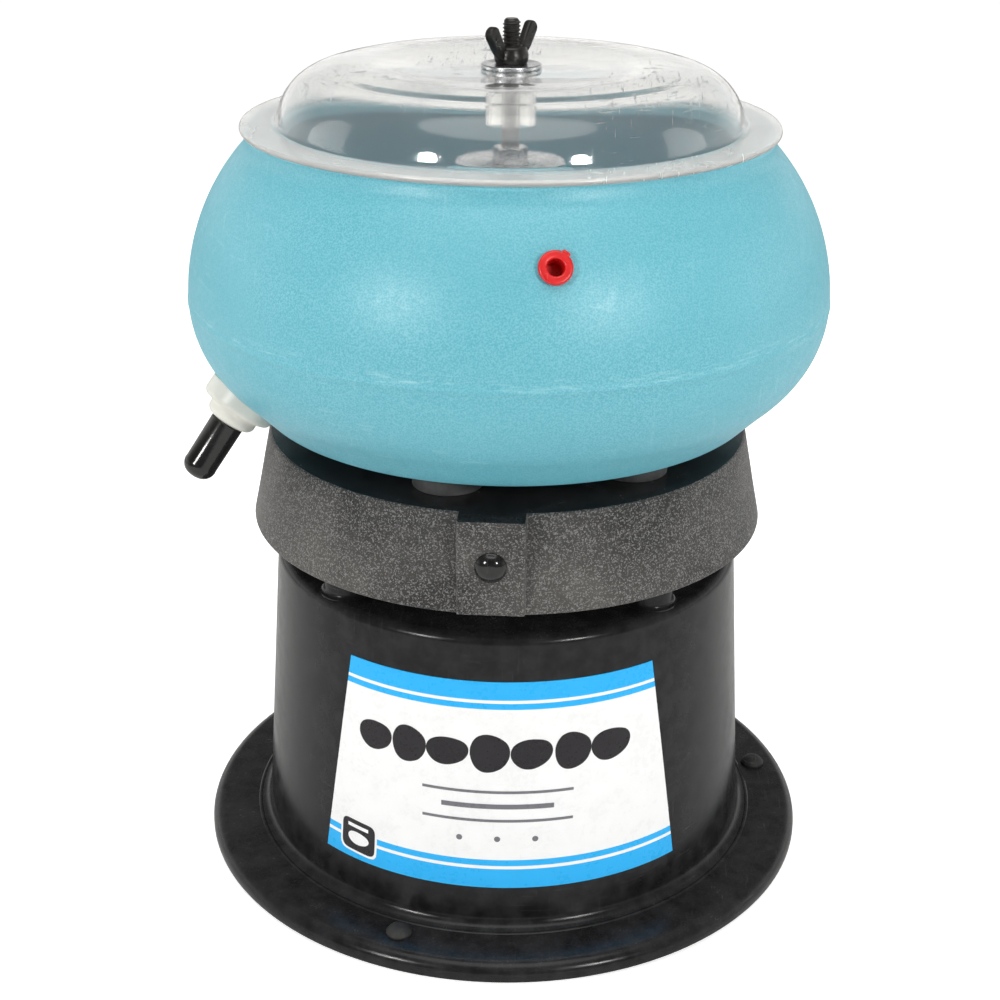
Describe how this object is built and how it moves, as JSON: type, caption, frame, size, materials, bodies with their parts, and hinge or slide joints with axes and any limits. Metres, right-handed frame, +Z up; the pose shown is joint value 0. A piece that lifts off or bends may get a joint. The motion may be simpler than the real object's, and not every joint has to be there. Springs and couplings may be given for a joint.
{
  "type": "vibratory rock tumbler",
  "caption": "Vibratory rock tumbler: ring-shaped bowl with clear domed lid on a sprung drive pan, over a flanged round housing with the motor hung inside.",
  "frame": {"origin": "on the resting plane under the feet, on the axis of the centre stud", "axes": "+Z up along the centre stud; -Y towards the drive pan's flat front panel; +X to the right seen from the front"},
  "size_m": [0.236, 0.236, 0.316],
  "materials": {
    "housing_plastic": "satin-gloss black moulded ABS",
    "foot_rubber": "black rubber",
    "label_vinyl": "printed vinyl, white with blue bands",
    "grommet_rubber": "black rubber",
    "spring_steel": "bright spring wire",
    "pan_plastic": "grained black moulding",
    "plug_plastic": "glossy black",
    "pad_rubber": "dark grey rubber",
    "bowl_plastic": "turquoise rotomoulded polyethylene",
    "red_vinyl": "soft red vinyl",
    "white_plastic": "off-white nylon",
    "seal_rubber": "pale seal",
    "black_vinyl": "glossy dipped vinyl",
    "zinc_steel": "bright zinc plate",
    "clear_plastic": "clear thermoformed sheet",
    "black_steel": "black oxide",
    "lamination_steel": "varnished laminations",
    "copper_winding": "enamelled copper wire",
    "bearing_bronze": "sintered bronze",
    "shaft_steel": "ground steel",
    "fan_aluminium": "stamped aluminium"
  },
  "bodies": {
    "base": {"base_housing": "housing_plastic", "foot_1": "foot_rubber", "foot_2": "foot_rubber", "foot_3": "foot_rubber", "front_label": "label_vinyl", "cord_grommet": "grommet_rubber"},
    "suspension": {"spring_1": "spring_steel", "spring_2": "spring_steel", "spring_3": "spring_steel", "spring_4": "spring_steel"},
    "drive": {"drive_pan": "pan_plastic", "panel_plug": "plug_plastic", "bowl_pads": "pad_rubber", "bowl": "bowl_plastic", "drain_fitting": "white_plastic", "drain_washer": "seal_rubber", "drain_nut": "white_plastic", "centre_stud": "zinc_steel", "stud_lock_nuts": "zinc_steel", "bowl_washer": "zinc_steel", "bowl_nut": "zinc_steel", "motor_core": "lamination_steel", "motor_coil": "copper_winding", "upper_bracket": "zinc_steel", "lower_bracket": "zinc_steel", "upper_bearing": "bearing_bronze", "lower_bearing": "bearing_bronze", "bracket_spacers": "zinc_steel", "motor_bolts": "zinc_steel", "motor_bolt_nuts": "zinc_steel", "motor_plate": "zinc_steel", "plate_standoffs": "zinc_steel", "standoff_screws": "zinc_steel"},
    "rotor": {"motor_shaft": "shaft_steel", "rotor_core": "lamination_steel", "eccentric_weight": "shaft_steel", "weight_set_screw": "black_steel", "cooling_fan": "fan_aluminium"},
    "lid": {"lid": "clear_plastic", "lid_sleeve": "clear_plastic"},
    "nut_washer": {"lid_washer": "zinc_steel"},
    "wing_nut": {"wing_nut": "black_steel"},
    "inlet_plug": {"inlet_plug": "red_vinyl"},
    "drain_cap": {"drain_cap": "black_vinyl"}
  },
  "joints": [
    {"name": "bounce", "type": "slide", "parent": "base", "child": "suspension", "axis": [0, 0, 1], "range_m": [-0.001, 0.001], "stiffness_N_per_m": 8000, "springref_m": 0.0033, "deforming": ["spring_1", "spring_2", "spring_3", "spring_4"]},
    {"name": "rock", "type": "hinge", "parent": "suspension", "child": "drive", "pos_m": [0, 0, 0.14], "axis": [1, 0, 0], "range_deg": [-0.75, 0.75], "stiffness_Nm_per_rad": 34, "springref_deg": 0.5},
    {"name": "motor_spin", "type": "hinge", "parent": "drive", "child": "rotor", "pos_m": [0, 0, 0.09], "axis": [0, 0, 1], "continuous": true},
    {"name": "lid_lift", "type": "slide", "parent": "drive", "child": "lid", "axis": [0, 0, 1], "range_m": [0, 0.1]},
    {"name": "nut_travel", "type": "slide", "parent": "lid", "child": "nut_washer", "axis": [0, 0, 1], "range_m": [0, 0.012]},
    {"name": "nut_turn", "type": "hinge", "parent": "nut_washer", "child": "wing_nut", "pos_m": [0, 0, 0.3], "axis": [0, 0, 1], "range_deg": [0, 3400]},
    {"name": "inlet_plug_pull", "type": "slide", "parent": "drive", "child": "inlet_plug", "axis": [0.16, -0.8633, 0.4787], "range_m": [0, 0.02]},
    {"name": "drain_cap_pull", "type": "slide", "parent": "drive", "child": "drain_cap", "axis": [-0.5305, -0.253, -0.809], "range_m": [0, 0.02]}
  ],
  "couplings": [
    {"joint": "nut_travel", "follows": "nut_turn", "m_per_rad": 0.00020213}
  ]
}
